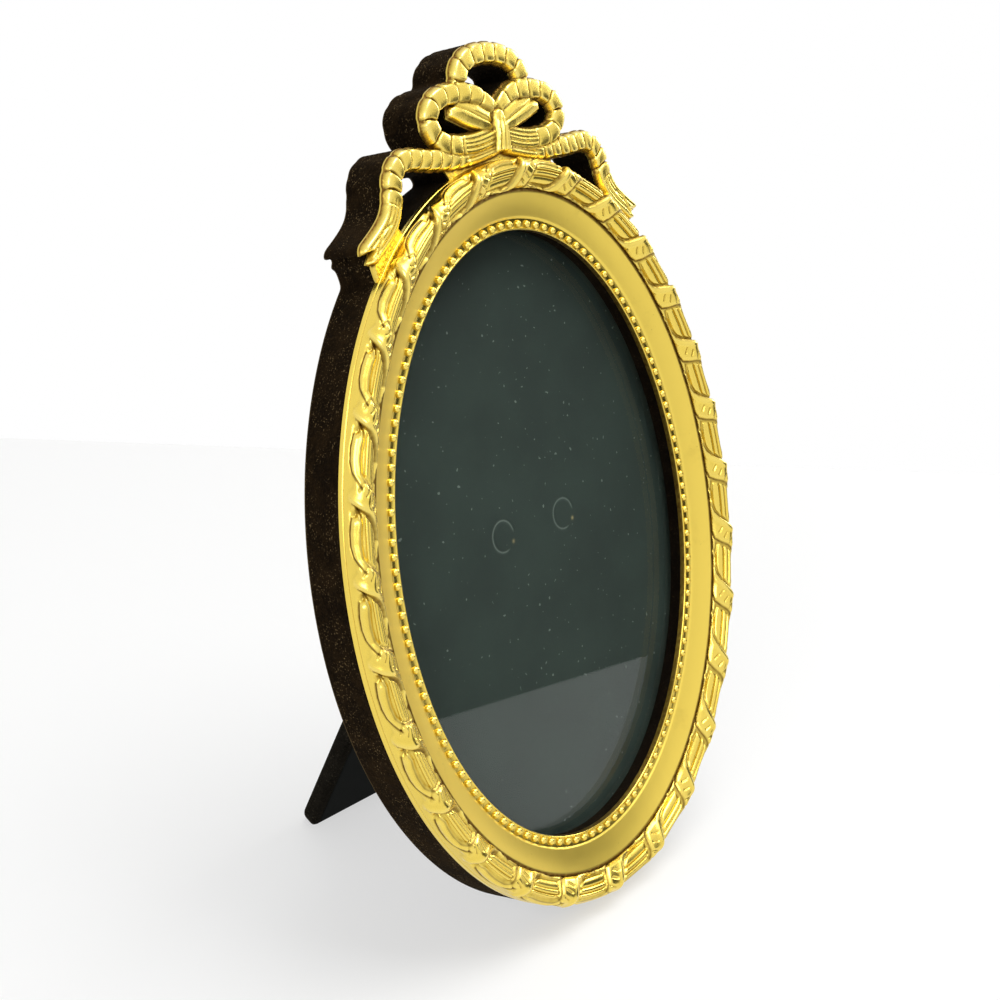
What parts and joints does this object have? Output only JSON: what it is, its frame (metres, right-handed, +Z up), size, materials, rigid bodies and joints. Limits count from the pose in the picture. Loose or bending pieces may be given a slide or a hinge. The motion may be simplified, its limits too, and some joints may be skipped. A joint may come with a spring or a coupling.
{
  "type": "oval picture frame",
  "caption": "Small table-top oval picture frame with a pierced ribbon-bow crest, glass, a removable back held by turn buttons, and a hinged easel leg.",
  "frame": {"origin": "centre of the base of the standing frame's box, on the surface it stands on", "axes": "+Z up, +X across the frame to the right as seen from the front, and -Y towards the viewer; the frame leans back 15 degrees"},
  "size_m": [0.1142, 0.07, 0.1652],
  "materials": {
    "brass": "satin gilt, rubbed and slightly tarnished",
    "wood": "plain sawn, hidden under the cloth",
    "brown_velvet": "short brown velvet nap",
    "black_velvet": "short black velvet nap",
    "leg_cloth": "smooth near-black lining cloth",
    "glass": "clear, polished",
    "card": "smooth dark green-black card",
    "board": "dense grey-brown board",
    "hinge_metal": "rolled sheet, dull",
    "button_metal": "stamped sheet, dull"
  },
  "bodies": {
    "frame": {"stamped_front": "brass", "body_core": "wood", "side_velvet": "brown_velvet", "hole_linings": "brown_velvet", "sight_velvet": "brown_velvet", "rear_velvet": "black_velvet", "glass_pane": "glass", "photo_card": "card", "back_board": "board", "back_velvet": "black_velvet", "hinge_fixed_leaf": "hinge_metal", "hinge_pin": "hinge_metal", "board_rivets": "hinge_metal", "button_screws": "button_metal"},
    "leg": {"leg_board": "board", "leg_wrap": "black_velvet", "leg_lining": "leg_cloth", "hinge_leg_leaf": "hinge_metal", "leg_rivets": "hinge_metal"},
    "button_1": {"turn_button_1": "button_metal"},
    "button_2": {"turn_button_2": "button_metal"},
    "button_3": {"turn_button_3": "button_metal"},
    "button_4": {"turn_button_4": "button_metal"}
  },
  "joints": [
    {"name": "leg_hinge", "type": "hinge", "parent": "frame", "child": "leg", "pos_m": [0, -0.00245, 0.06727], "axis": [1, 0, 0], "range_deg": [-41, 0]},
    {"name": "button_1_turn", "type": "hinge", "parent": "frame", "child": "button_1", "pos_m": [0.04041, 0.00821, 0.11361], "axis": [0, 0.9659, -0.2588], "continuous": true},
    {"name": "button_2_turn", "type": "hinge", "parent": "frame", "child": "button_2", "pos_m": [-0.04041, 0.00821, 0.11361], "axis": [0, 0.9659, -0.2588], "continuous": true},
    {"name": "button_3_turn", "type": "hinge", "parent": "frame", "child": "button_3", "pos_m": [-0.04041, -0.01473, 0.02799], "axis": [0, 0.9659, -0.2588], "continuous": true},
    {"name": "button_4_turn", "type": "hinge", "parent": "frame", "child": "button_4", "pos_m": [0.04041, -0.01473, 0.02799], "axis": [0, 0.9659, -0.2588], "continuous": true}
  ]
}
